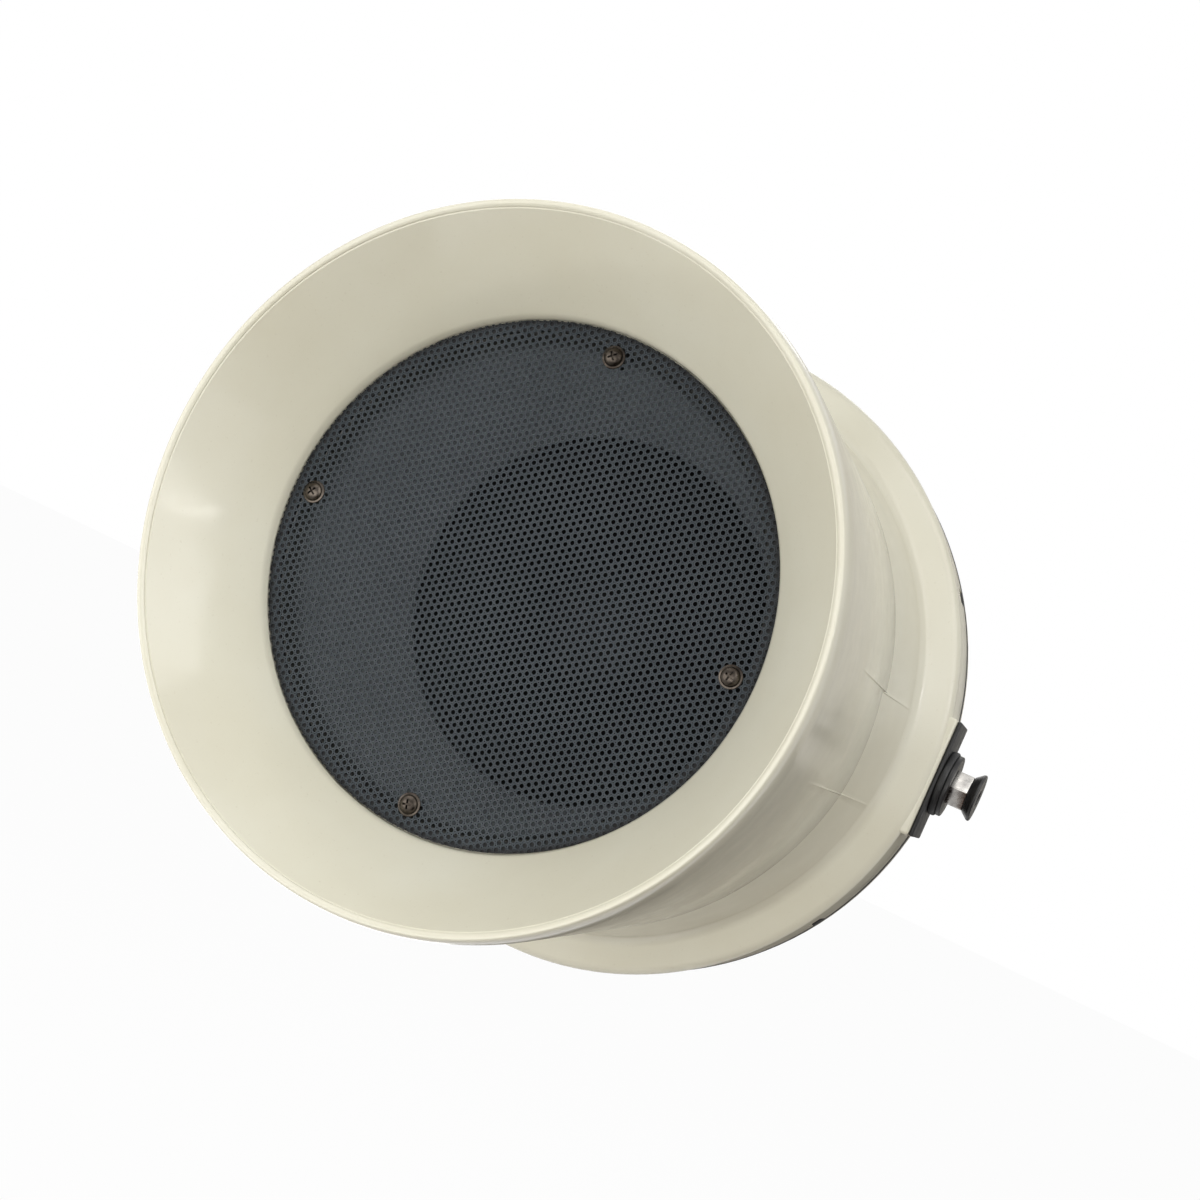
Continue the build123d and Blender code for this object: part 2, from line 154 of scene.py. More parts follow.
# Tilt posts, outwards from the boss
PAD_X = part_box("pivot_pads")[1].x / MM
CUSHION_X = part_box("pivot_cushions")[1].x / MM
CUSHION_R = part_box("pivot_cushions")[1].z / MM
WASHER_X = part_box("pivot_washers")[1].x / MM
WASHER_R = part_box("pivot_washers")[1].z / MM
POST_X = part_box("pivot_posts")[1].x / MM
POST_IN = 123.2
POST_AF = 14.0
POST_EDGE = 0.35
POST_STEPS = 64
THREAD_R = 4.0
THREAD_PLAY = 0.3
STUD_BORE_R = 0.4
BORE_R = 2.5
BORE_DEEP = 6.0
COLLAR_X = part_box("pivot_collars")[1].x / MM
COLLAR_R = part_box("pivot_collars")[1].z / MM
COLLAR_BORE_R = 3.3

# Camera: lens and place found from the ellipses of the rim, the grille and the rear barrel
LENS = 49.5
SENSOR = 36.0
AXIS_LEAN = 30.23
AXIS_TILT = 19.56
POST_ROLL = -6.1
MOUTH_FROM_CAMERA = Vector((-41.55, -13.74, 518.3))

# Dusting, painted shade and gloss of the moulding
DUST_AND_SHADE_SHARE = 0.9
DUST_AND_SHADE_FADE_Y = (-30.0, -20.0)
WAIST_SHADE = 0.5
WAIST_SHADE_LEN = 40.0
SATIN = 0.06
SATIN_LEAN = 0.3
SATIN_FADE = 6.0

# Floor, in metres, and surrounding light
FLOOR_Z = -0.8
FLOOR_HALF = 12.0
FLOOR_WHITE = 0.97
SOFT_LIGHT = 0.14


def srgb(red, green, blue):
    def linear(level):
        level = level / 255
        return level / 12.92 if level <= 0.04045 else ((level + 0.055) / 1.055) ** 2.4

    return (linear(red), linear(green), linear(blue), 1.0)


# Materials
class Finish:
    """A node material under construction: one Principled shader and what feeds it."""

    def __init__(self, name, colour, roughness, **sockets):
        self.material = bpy.data.materials.new(name)
        self.material.use_nodes = True
        self.tree = self.material.node_tree
        self.shader = self.tree.nodes["Principled BSDF"]
        self.shader.inputs["Base Color"].default_value = colour
        self.shader.inputs["Roughness"].default_value = roughness
        for socket, value in sockets.items():
            self.shader.inputs[socket.replace("_", " ")].default_value = value
        self.place = self.node("ShaderNodeTexCoord").outputs["Object"]

    def node(self, kind, **settings):
        made = self.tree.nodes.new(kind)
        for name, value in settings.items():
            setattr(made, name, value)
        return made

    def link(self, out, into):
        self.tree.links.new(out, into)

    def feed(self, socket, value):
        if isinstance(value, bpy.types.NodeSocket):
            self.link(value, socket)
        else:
            socket.default_value = value

    def noise(self, scale, detail):
        made = self.node("ShaderNodeTexNoise")
        made.inputs["Scale"].default_value = scale
        made.inputs["Detail"].default_value = detail
        self.link(self.place, made.inputs["Vector"])
        return made.outputs["Fac"]

    def reach(self):
        """Distance from the speaker's axis, in metres."""
        across = self.node("ShaderNodeVectorMath", operation="MULTIPLY")
        across.inputs[1].default_value = (1, 0, 1)
        self.link(self.place, across.inputs[0])
        made = self.node("ShaderNodeVectorMath", operation="LENGTH")
        self.link(across.outputs["Vector"], made.inputs[0])
        return made.outputs["Value"]

    def depth(self):
        """Place along the speaker's axis, in metres."""
        parts = self.node("ShaderNodeSeparateXYZ")
        self.link(self.place, parts.inputs[0])
        return parts.outputs["Y"]

    def combined(self, operation, first, second):
        made = self.node("ShaderNodeMath", operation=operation)
        self.feed(made.inputs[0], first)
        self.feed(made.inputs[1], second)
        return made.outputs[0]

    def ramp(self, factor, *stops):
        made = self.node("ShaderNodeValToRGB")
        while len(made.color_ramp.elements) < len(stops):
            made.color_ramp.elements.new(0.5)
        for element, (place, colour) in zip(made.color_ramp.elements, stops):
            element.position = place
            element.color = colour
        self.link(factor, made.inputs["Fac"])
        return made.outputs["Color"]

    def span(self, factor, low, high, start=0.3, end=0.7):
        """The factor's range from start to end, carried over to low and high."""
        made = self.node("ShaderNodeMapRange")
        made.inputs["From Min"].default_value = start
        made.inputs["From Max"].default_value = end
        made.inputs["To Min"].default_value = low
        made.inputs["To Max"].default_value = high
        self.link(factor, made.inputs["Value"])
        return made.outputs["Result"]

    def mixed(self, factor, first, second):
        """Colour between the first and the second, by a factor from nought to one."""
        made = self.node("ShaderNodeMix", data_type="RGBA")
        self.link(factor, made.inputs[0])
        self.feed(made.inputs[6], first)
        self.feed(made.inputs[7], second)
        return made.outputs[2]

    def colour(self, out):
        self.link(out, self.shader.inputs["Base Color"])

    def roughness(self, out):
        self.link(out, self.shader.inputs["Roughness"])

    def bump(self, height, strength, distance):
        made = self.node("ShaderNodeBump")
        made.inputs["Strength"].default_value = strength
        made.inputs["Distance"].default_value = distance * MM
        self.link(height, made.inputs["Height"])
        earlier = self.shader.inputs["Normal"].links
        if earlier:
            self.link(earlier[0].from_socket, made.inputs["Normal"])
        self.link(made.outputs["Normal"], self.shader.inputs["Normal"])


def darker(colour, share):
    return (colour[0] * share, colour[1] * share, colour[2] * share, 1.0)


def behind_grille(finish, plain):
    """Greys the moulding behind the grille: a pale dusty grey in the throat, and painted shade as a
    dark ring on the ledge at the pad ring.
    """
    reach = finish.reach()
    # The ledge mask picks the painted shade, a dark ring under the grille's edge.
    ledge = finish.span(reach, 0.0, 1.0, (LEDGE_R - 2.5) * MM, (LEDGE_R - 1.0) * MM)
    dust_and_ledge_shade = finish.mixed(ledge, srgb(182, 188, 196), srgb(50, 52, 54))
    inside = finish.span(reach, DUST_AND_SHADE_SHARE, 0.0, (LIP_R - 0.9) * MM, (LIP_R - 0.6) * MM)
    ledge_y = (LEDGE_DEPTH + RIM_FRONT) * MM
    rear = finish.span(finish.depth(), 0.0, 1.0, ledge_y - 0.6 * MM, ledge_y - 0.4 * MM)
    front = finish.span(finish.depth(), 1.0, 0.0, DUST_AND_SHADE_FADE_Y[0] * MM, DUST_AND_SHADE_FADE_Y[1] * MM)
    share = finish.combined("MULTIPLY", inside, finish.combined("MULTIPLY", rear, front))
    return finish.mixed(share, plain, dust_and_ledge_shade)


def waist_painted_shade(finish, plain):
    """Painted shade: greys the outer wall softly towards the waist."""
    waist_y = (WAIST_DEPTH + RIM_FRONT) * MM
    near = finish.span(finish.depth(), 0.0, WAIST_SHADE, waist_y - WAIST_SHADE_LEN * MM, waist_y)
    ends = finish.span(finish.depth(), 1.0, 0.0, waist_y + 0.2 * MM, waist_y + 1.0 * MM)
    outside = finish.span(finish.reach(), 0.0, 1.0, (WAIST_R - 4.0) * MM, (WAIST_R - 3.0) * MM)
    share = finish.combined("MULTIPLY", outside, finish.combined("MULTIPLY", near, ends))
    return finish.mixed(share, plain, srgb(128, 125, 114))


def satin_outside(finish, gloss):
    """Roughness of the moulding: the given gloss in the flare, duller on the walls outside."""
    lean = finish.combined("MULTIPLY", finish.depth(), SATIN_LEAN)
    place = finish.combined("ADD", finish.reach(), lean)
    start = (MOUTH_R - 1.5 + SATIN_LEAN * RIM_FRONT) * MM
    dull = finish.span(place, 0.0, SATIN, start, start + SATIN_FADE * MM)
    return finish.combined("ADD", gloss, dull)


def cream_plastic():
    cream = srgb(229, 226, 209)
    finish = Finish("cream_plastic", cream, 0.14, IOR=1.52)
    cloud = finish.noise(14.0, 5.0)
    tone = finish.ramp(
        cloud, (0.3, srgb(224, 220, 201)), (0.55, cream), (0.75, srgb(233, 231, 216)),
    )
    specks = finish.span(finish.noise(900.0, 2.0), 0.0, 0.25, 0.66, 0.78)
    speckled = finish.mixed(specks, tone, srgb(200, 192, 170))
    # The colour carries painted shade at the waist and on the ledge behind the grille's edge.
    finish.colour(waist_painted_shade(finish, behind_grille(finish, speckled)))
    gloss = finish.span(finish.noise(60.0, 6.0), 0.08, 0.2)
    finish.roughness(satin_outside(finish, gloss))
    finish.bump(finish.noise(16.0, 1.0), 0.08, 0.9)
    finish.bump(finish.noise(260.0, 3.0), 0.03, 0.06)
    return finish.material


def grille_paint():
    slate = srgb(59, 66, 72)
    finish = Finish("grille_paint", slate, 0.5, Specular_IOR_Level=0.3)
    cloud = finish.noise(30.0, 5.0)
    tone = finish.ramp(cloud, (0.3, srgb(55, 62, 68)), (0.7, srgb(63, 70, 76)))
    # Painted shade: the sheet darkens towards its rim, where the lip shadows it.
    edge = finish.span(finish.reach(), 0.0, 0.8, (GRILLE_R - 2.2) * MM, (GRILLE_R - 0.6) * MM)
    finish.colour(finish.mixed(edge, tone, srgb(18, 18, 19)))
    finish.roughness(finish.span(finish.noise(400.0, 3.0), 0.42, 0.62))
    finish.bump(finish.noise(1500.0, 3.0), 0.2, 0.06)
    return finish.material


def metal(name, colour, dull, rough):
    grain = 500.0
    finish = Finish(name, colour, rough, Metallic=1.0)
    stain = finish.noise(160.0, 5.0)
    finish.colour(finish.ramp(stain, (0.35, dull), (0.65, colour)))
    finish.roughness(finish.span(finish.noise(grain, 4.0), rough * 0.75, rough * 1.5))
    finish.bump(finish.noise(grain * 2.0, 3.0), 0.15, 0.05)
    return finish.material


def matt(name, colour, rough, grain, depth, **sockets):
    finish = Finish(name, colour, rough, **sockets)
    cloud = finish.noise(45.0, 5.0)
    finish.colour(finish.ramp(cloud, (0.3, darker(colour, 0.72)), (0.7, colour)))
    wear = finish.noise(grain * 0.4, 4.0)
    finish.roughness(finish.span(wear, rough * 0.85, min(1.0, rough * 1.15)))
    finish.bump(finish.noise(grain, 4.0), 0.3, depth)
    return finish.material


FINISHES = {
    "cream_plastic": cream_plastic(),
    "grille_paint": grille_paint(),
    "bronze_screw": metal("bronze_screw", srgb(92, 85, 78), srgb(46, 41, 37), 0.24),
    "zinc_screw": metal("zinc_screw", srgb(176, 174, 166), srgb(130, 128, 120), 0.3),
    "black_foam": matt("black_foam", srgb(34, 34, 35), 0.95, 900.0, 0.3),
    "black_paint": matt("black_paint", srgb(26, 27, 29), 0.5, 600.0, 0.06),
    "zinc_plate": metal("zinc_plate", srgb(182, 178, 164), srgb(146, 140, 122), 0.34),
    "ferrite": matt("ferrite", srgb(58, 57, 58), 0.7, 500.0, 0.12),
    "cone_paper": matt("cone_paper", srgb(13, 13, 15), 0.85, 420.0, 0.2, Specular_IOR_Level=0.15),
    "cap_film": matt("cap_film", srgb(16, 16, 18), 0.6, 300.0, 0.05, Specular_IOR_Level=0.2),
    "former_foil": matt("former_foil", srgb(168, 120, 60), 0.4, 500.0, 0.03),
    "copper_wire": metal("copper_wire", srgb(196, 128, 88), srgb(150, 92, 60), 0.3),
    "roll_rubber": matt("roll_rubber", srgb(13, 13, 14), 0.8, 700.0, 0.08, Specular_IOR_Level=0.15),
    "black_rubber": matt("black_rubber", srgb(20, 20, 21), 0.55, 700.0, 0.08),
    "spider_cloth": matt("spider_cloth", srgb(176, 142, 84), 0.9, 900.0, 0.2),
    "terminal_board": matt("terminal_board", srgb(120, 84, 48), 0.6, 500.0, 0.08),
    "terminal_plastic": matt("terminal_plastic", srgb(34, 34, 36), 0.4, 500.0, 0.05),
    "red_sleeve": matt("red_sleeve", srgb(168, 26, 24), 0.4, 500.0, 0.04),
    "black_sleeve": matt("black_sleeve", srgb(24, 24, 25), 0.4, 500.0, 0.04),
    "gland_plastic": matt("gland_plastic", srgb(40, 41, 43), 0.45, 600.0, 0.06),
    "insert_brass": metal("insert_brass", srgb(190, 158, 96), srgb(150, 120, 70), 0.3),
    "post_steel": metal("post_steel", srgb(206, 203, 198), srgb(158, 155, 152), 0.24),
    "black_plastic": matt("black_plastic", srgb(22, 21, 22), 0.42, 600.0, 0.06),
}
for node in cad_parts.values():
    for holder in node.material_slots:
        holder.material = FINISHES[holder.material.name.split(".")[0]]


# Making pieces
def spot(radius, depth):
    return Vector((radius * MM, (depth + RIM_FRONT) * MM, 0.0))


def arc(start, middle, end, steps):
    """Points of the circle through three (radius, depth) points, both ends included."""
    (ax, ay), (bx, by), (cx, cy) = start, middle, end
    d = 2 * (ax * (by - cy) + bx * (cy - ay) + cx * (ay - by))
    a2, b2, c2 = ax * ax + ay * ay, bx * bx + by * by, cx * cx + cy * cy
    ox = (a2 * (by - cy) + b2 * (cy - ay) + c2 * (ay - by)) / d
    oy = (a2 * (cx - bx) + b2 * (ax - cx) + c2 * (bx - ax)) / d
    size = hypot(ax - ox, ay - oy)
    first = atan2(ay - oy, ax - ox)
    halfway = atan2(by - oy, bx - ox)
    last = atan2(cy - oy, cx - ox)
    sweep = (last - first) % (2 * pi)
    if (halfway - first) % (2 * pi) > sweep:
        sweep -= 2 * pi
    turns = [first + sweep * i / steps for i in range(steps + 1)]
    return [(ox + size * cos(t), oy + size * sin(t)) for t in turns]


def turned(corners, steps=TURN_STEPS, segments=5, closed=True):
    """A section of (radius, depth) corners, each with an optional rounding, spun about the axis."""
    bm = bmesh.new()
    verts = [bm.verts.new(spot(c[0], c[1])) for c in corners]
    rounds = [c[2] if len(c) > 2 else 0.0 for c in corners]
    pairs = list(zip(verts, verts[1:]))
    if closed:
        pairs.append((verts[-1], verts[0]))
    for pair in pairs:
        bm.edges.new(pair)
    for vert, size in zip(verts, rounds):
        if size:
            bmesh.ops.bevel(
                bm, geom=[vert], offset=size * MM, offset_type="OFFSET", segments=segments,
                profile=0.5, affect="VERTICES", material=-1,
            )
    bmesh.ops.spin(
        bm, geom=bm.verts[:] + bm.edges[:], axis=(0, 1, 0), cent=(0, 0, 0), angle=2 * pi,
        steps=steps, use_merge=True,
    )
    bmesh.ops.remove_doubles(bm, verts=bm.verts[:], dist=0.002 * MM)
    bmesh.ops.recalc_face_normals(bm, faces=bm.faces[:])
    return bm


def box_of(bm, low, high, edge=0.0, segments=3):
    """A block between two corners in millimetres, with its edges rounded."""
    low, high = Vector(low), Vector(high)
    size = Matrix.Diagonal((*(high - low), 1.0))
    matrix = Matrix.Scale(MM, 4) @ Matrix.Translation((low + high) / 2) @ size
    made = bmesh.ops.create_cube(bm, size=1.0, matrix=matrix)["verts"]
    if edge:
        edges = list({e for v in made for e in v.link_edges})
        bmesh.ops.bevel(
            bm, geom=edges, offset=edge * MM, segments=segments, profile=0.5,
            affect="EDGES", material=-1,
        )


def smooth(mesh, sharp):
    mesh.shade_smooth()
    mesh.set_sharp_from_angle(angle=radians(sharp))


def shown(name, bm, finish, sharp):
    """An object in the scene, from a mesh under construction."""
    mesh = bpy.data.meshes.new(name)
    bm.to_mesh(mesh)
    bm.free()
    smooth(mesh, sharp)
    mesh.materials.append(FINISHES[finish])
    made = bpy.data.objects.new(name, mesh)
    bpy.context.scene.collection.objects.link(made)
    return made


def piece(name, bm, slot, sharp=SHARP):
    made = shown(name, bm, slot, sharp)
    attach(made, "cabinet")
    return made


def join(bm, other):
    """Moves one mesh under construction into another."""
    spare = bpy.data.meshes.new("spare")
    other.to_mesh(spare)
    other.free()
    bm.from_mesh(spare)
    bpy.data.meshes.remove(spare)


def cut(target, cutter_bm):
    """Takes the cutter's volume out of a piece."""
    mesh = bpy.data.meshes.new("cutter")
    cutter_bm.to_mesh(mesh)
    cutter_bm.free()
    cutter = bpy.data.objects.new("cutter", mesh)
    bpy.context.scene.collection.objects.link(cutter)
    step = target.modifiers.new("cut", "BOOLEAN")
    step.operation = "DIFFERENCE"
    step.object = cutter
    step.solver = "EXACT"
    bpy.context.view_layer.update()
    result = target.evaluated_get(bpy.context.evaluated_depsgraph_get())
    whole = bpy.data.meshes.new_from_object(result)
    target.modifiers.clear()
    target.data = whole
    bpy.data.objects.remove(cutter)
    bpy.data.meshes.remove(mesh)


def mirrored(bm):
    """Adds the same shape on the other side of the YZ plane."""
    copy = bmesh.ops.duplicate(bm, geom=bm.verts[:] + bm.edges[:] + bm.faces[:])
    verts = [v for v in copy["geom"] if isinstance(v, bmesh.types.BMVert)]
    faces = [f for f in copy["geom"] if isinstance(f, bmesh.types.BMFace)]
    bmesh.ops.scale(bm, vec=(-1, 1, 1), verts=verts)
    bmesh.ops.reverse_faces(bm, faces=faces)


# Front moulding
def on_bead(turn):
    return (MOUTH_R - BEAD_R + BEAD_R * cos(turn), BEAD_R + BEAD_R * sin(turn))


def housing_section():
    """Corners of the moulding: round the rim, down the flare, behind it, and back along the outside."""
    bead = MOUTH_R - BEAD_R
    bead_turn = radians(BEAD_END_TURN)
    bead_mid = on_bead(bead_turn / 2 + 3 * pi / 4)
    bead_end = on_bead(bead_turn)
    chord = (LIP_R - bead_end[0], LIP_DEPTH - bead_end[1])
    chord_len = hypot(*chord)
    along = (chord[0] / chord_len, chord[1] / chord_len)
    flare_top = (
        bead_end[0] + BEAD_LINE_W * along[0],
        bead_end[1] + BEAD_LINE_W * along[1],
    )
    bead_line = (
        bead_end[0] + BEAD_LINE_W * along[0] / 2 + BEAD_LINE_H * along[1],
        bead_end[1] + BEAD_LINE_W * along[1] / 2 - BEAD_LINE_H * along[0],
    )
    sag = FLARE_SAG * chord_len
    flare_mid = (
        (flare_top[0] + LIP_R) / 2 - sag * chord[1] / chord_len,
        (flare_top[1] + LIP_DEPTH) / 2 + sag * chord[0] / chord_len,
    )
    back_mid = (flare_mid[0] + WALL * 0.86, flare_mid[1] + WALL * 0.5)
    shoulder_w = BARREL_R - NECK_R
    shoulder_len = BARREL_FRONT - NECK_DEPTH
    face_in = (NECK_R + 0.17 * shoulder_w, NECK_DEPTH + 0.36 * shoulder_len)
    face_out = (BARREL_R - 0.14 * shoulder_w, BARREL_FRONT - 0.25 * shoulder_len)
    barrel_in = BARREL_R - BARREL_WALL
    neck_front = WAIST_R - WAIST_STEP
    turns = [pi / 2 * i / EDGE_STEPS for i in range(EDGE_STEPS)]
    section = [(bead + BEAD_R * cos(t), EDGE_LEN - EDGE_LEN * sin(t)) for t in turns]
    section += arc((bead, 0), bead_mid, bead_end, 8)
    section += [(*bead_line, 0.12)]
    section += arc(flare_top, flare_mid, (LIP_R, LIP_DEPTH), 28)
    section += [
        (LIP_R, LEDGE_DEPTH, 0.4),
        (LEDGE_R, LEDGE_DEPTH, 0.8),
        (OPENING_R, OPENING_DEPTH - WALL, 1.0),
        (OPENING_R, OPENING_DEPTH),
        (BAFFLE_R, OPENING_DEPTH),
        (BAFFLE_R, OPENING_DEPTH - WALL),
        (OPENING_R + WALL, OPENING_DEPTH - WALL),
        (LEDGE_R + WALL, LEDGE_DEPTH + WALL),
        (LIP_R + WALL, LEDGE_DEPTH + WALL),
    ]
    section += arc((LIP_R + WALL, LIP_DEPTH + 1), back_mid, (CAVITY_FLARE_R, CAVITY_FRONT), 12)
    section += [
        (MOUTH_R - WALL, CAVITY_FRONT),
        (WAIST_R - WALL, WAIST_DEPTH - 1.5),
        (neck_front - WALL, WAIST_DEPTH + 3),
        (NECK_R - WALL, NECK_DEPTH + 2),
        (face_in[0] - 0.7 * WALL, face_in[1] + 1.2 * WALL),
        (barrel_in - 0.35 * WALL, BARREL_FRONT + 0.55 * WALL),
        (barrel_in, BARREL_FRONT + WALL),
        (barrel_in, BARREL_BACK - SEAL_LAP, 0.5),
        (BARREL_R, BARREL_BACK - SEAL_LAP, 0.8),
        (BARREL_R, BARREL_FRONT, 1.2),
        (face_out[0], face_out[1], 1.4),
        (face_in[0], face_in[1], 1.6),
        (NECK_R, NECK_DEPTH, 1.4),
        (neck_front, WAIST_DEPTH + WAIST_STEP, 0.5),
        (WAIST_R, WAIST_DEPTH, 0.35),
    ]
    for i in range(1, WALL_STEPS):
        share = i / WALL_STEPS
        radius = WAIST_R + (MOUTH_R - WAIST_R) * share
        section.append((radius, WAIST_DEPTH + (EDGE_LEN - WAIST_DEPTH) * share))
    return section


def on_outer_wall(co):
    depth = co.y / MM - RIM_FRONT
    outside = hypot(co.x, co.z) / MM > WAIST_R - WAIST_STEP - 1.0
    return outside and SEAM_FRONT < depth < NECK_DEPTH + 2


def core_seam(bm, side):
    """The two fine ridges and the offset waist that a sliding mould core left beside a boss."""
    for height in (-SEAM_Z, SEAM_Z):
        for offset in (-SEAM_W / 2, 0.0, SEAM_W / 2):
            faces = [
                f for f in bm.faces
                if f.calc_center_median().x * side > 0 and all(on_outer_wall(v.co) for v in f.verts)
            ]
            edges = list({e for f in faces for e in f.edges})
            verts = list({v for f in faces for v in f.verts})
            bmesh.ops.bisect_plane(
                bm, geom=verts + edges + faces, dist=0.01 * MM,
                plane_co=(0, 0, (height + offset) * MM), plane_no=(0, 0, 1),
            )
    for vert in bm.verts:
        if vert.co.x * side <= 0 or not on_outer_wall(vert.co):
            continue
        depth = vert.co.y / MM - RIM_FRONT
        level = vert.co.z / MM
        if abs(abs(level) - SEAM_Z) < 0.02:
            front = max(0.0, (depth - SEAM_FRONT) / SEAM_FADE_FRONT)
            back = max(0.0, (NECK_DEPTH - depth) / SEAM_FADE_BACK)
            vert.co.x += side * SEAM_H * MM * min(1.0, front, back)
        if abs(depth - WAIST_DEPTH) < CORE_BAND and abs(level) < SEAM_Z - SEAM_W / 4:
            vert.co.y -= CORE_SHIFT * MM * (level + SEAM_Z) / (2 * SEAM_Z)


def build_housing():
    bm = turned(housing_section())
    for side in (1, -1):
        core_seam(bm, side)
    shell = piece("housing_shell", bm, "cream_plastic")
    notches = bmesh.new()
    back = BARREL_BACK + RIM_FRONT
    low = (BARREL_R - NOTCH_DEEP, back - NOTCH_LEN, -NOTCH_W / 2)
    high = (BARREL_R + NOTCH_PAST, back + NOTCH_PAST, NOTCH_W / 2)
    for angle in NOTCH_ANGLES:
        before = set(notches.verts)
        box_of(notches, low, high, NOTCH_EDGE)
        fresh = [v for v in notches.verts if v not in before]
        bmesh.ops.rotate(notches, verts=fresh, matrix=Matrix.Rotation(radians(angle), 3, "Y"))
    cut(shell, notches)
    bosses = bmesh.new()
    boss_front = BARREL_FRONT - 1.0 + RIM_FRONT
    box_of(
        bosses, (BARREL_R - BARREL_WALL - 1, boss_front, -BOSS_W / 2),
        (BOSS_X, boss_front + BOSS_LEN, BOSS_W / 2), BOSS_EDGE, 4,
    )
    mirrored(bosses)
    bosses.from_mesh(shell.data)
    bosses.to_mesh(shell.data)
    bosses.free()
    smooth(shell.data, SHARP)
    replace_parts(shell, "housing")


# Perforated grille
def hole_cell(bm, x, y):
    """One hexagon of the sheet around one punched hole."""
    place = Matrix.Translation((x * MM, y * MM, 0))
    turned_place = place @ Matrix.Rotation(pi / HOLE_SIDES, 4, "Z")
    hole = bmesh.ops.create_circle(
        bm, segments=HOLE_SIDES, radius=HOLE_R * MM, matrix=turned_place,
    )["verts"]
    rim = bmesh.ops.create_circle(
        bm, segments=6, radius=HOLE_PITCH / sqrt(3) * MM, matrix=place,
    )["verts"]
    edges = list({e for v in hole + rim for e in v.link_edges})
    bmesh.ops.bridge_loops(bm, edges=edges)


def punched_sheet():
    """The flat sheet in the XY plane, trimmed to the grille's circle."""
    bm = bmesh.new()
    row_step = HOLE_PITCH * sqrt(3)
    hole_cell(bm, 0, 0)
    hole_cell(bm, row_step / 2, HOLE_PITCH / 2)
    mesh = bpy.data.meshes.new("cells")
    bm.to_mesh(mesh)
    bm.free()
    cells = bpy.data.objects.new("cells", mesh)
    bpy.context.scene.collection.objects.link(cells)
    columns = ceil(2 * GRILLE_R / row_step) + 2
    rows = ceil(2 * GRILLE_R / HOLE_PITCH) + 2
    runs = ((rows, (0, HOLE_PITCH * MM, 0)), (columns, (row_step * MM, 0, 0)))
    for count, offset in runs:
        repeat = cells.modifiers.new("repeat", "ARRAY")
        repeat.count = count
        repeat.use_relative_offset = False
        repeat.use_constant_offset = True
        repeat.constant_offset_displace = offset
        repeat.use_merge_vertices = True
        repeat.merge_threshold = 0.01 * MM
    bpy.context.view_layer.update()
    result = cells.evaluated_get(bpy.context.evaluated_depsgraph_get())
    whole = bpy.data.meshes.new_from_object(result)
    bpy.data.objects.remove(cells)
    sheet = bmesh.new()
    sheet.from_mesh(whole)
    middle = Vector(((columns // 2) * row_step * MM, (rows // 2) * HOLE_PITCH * MM, 0))
    bmesh.ops.translate(sheet, vec=-middle, verts=sheet.verts[:])
    turn = Matrix.Rotation(radians(SHEET_TURN), 3, "Z")
    bmesh.ops.rotate(sheet, verts=sheet.verts[:], matrix=turn)
    past = (GRILLE_R + HOLE_PITCH) * MM
    outside = [f for f in sheet.faces if f.calc_center_median().length > past]
    bmesh.ops.delete(sheet, geom=outside, context="FACES")
    inner = (GRILLE_R - HOLE_PITCH) * MM
    band = {f for f in sheet.faces if f.calc_center_median().length > inner}
    close = (GRILLE_R - 2 * HOLE_PITCH) * MM
    for i in range(EDGE_CUTS):
        turn = 2 * pi * i / EDGE_CUTS
        out = Vector((cos(turn), sin(turn), 0))
        near = [f for f in band if f.calc_center_median().dot(out) > close]
        edges = list({e for f in near for e in f.edges})
        verts = list({v for f in near for v in f.verts})
        made = bmesh.ops.bisect_plane(
            sheet, geom=verts + edges + near, dist=0.001 * MM, plane_co=out * GRILLE_R * MM,
            plane_no=out, clear_outer=True,
        )
        band = {f for f in band if f.is_valid}
        band |= {f for f in made["geom"] if isinstance(f, bmesh.types.BMFace)}
    return sheet


def build_grille():
    sheet = punched_sheet()
    stand = Matrix.Translation((0, GRILLE_FRONT * MM, 0)) @ Matrix.Rotation(pi / 2, 4, "X")
    for name, side in (("grille_left", -1), ("grille_right", 1)):
        half = sheet.copy()
        other = [f for f in half.faces if f.calc_center_median().x * side < 0]
        bmesh.ops.delete(half, geom=other, context="FACES")
        bmesh.ops.recalc_face_normals(half, faces=half.faces[:])
        flat = half.faces[:]
        raised = bmesh.ops.extrude_face_region(half, geom=flat, use_keep_orig=True)["geom"]
        back = [v for v in raised if isinstance(v, bmesh.types.BMVert)]
        bmesh.ops.translate(half, verts=back, vec=(0, 0, -GRILLE_T * MM))
        bmesh.ops.transform(half, matrix=stand, verts=half.verts[:])
        bmesh.ops.recalc_face_normals(half, faces=half.faces[:])
        made = piece(name, half, "grille_paint", SHARP_SMALL)
        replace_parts(made, "grille")
    sheet.free()


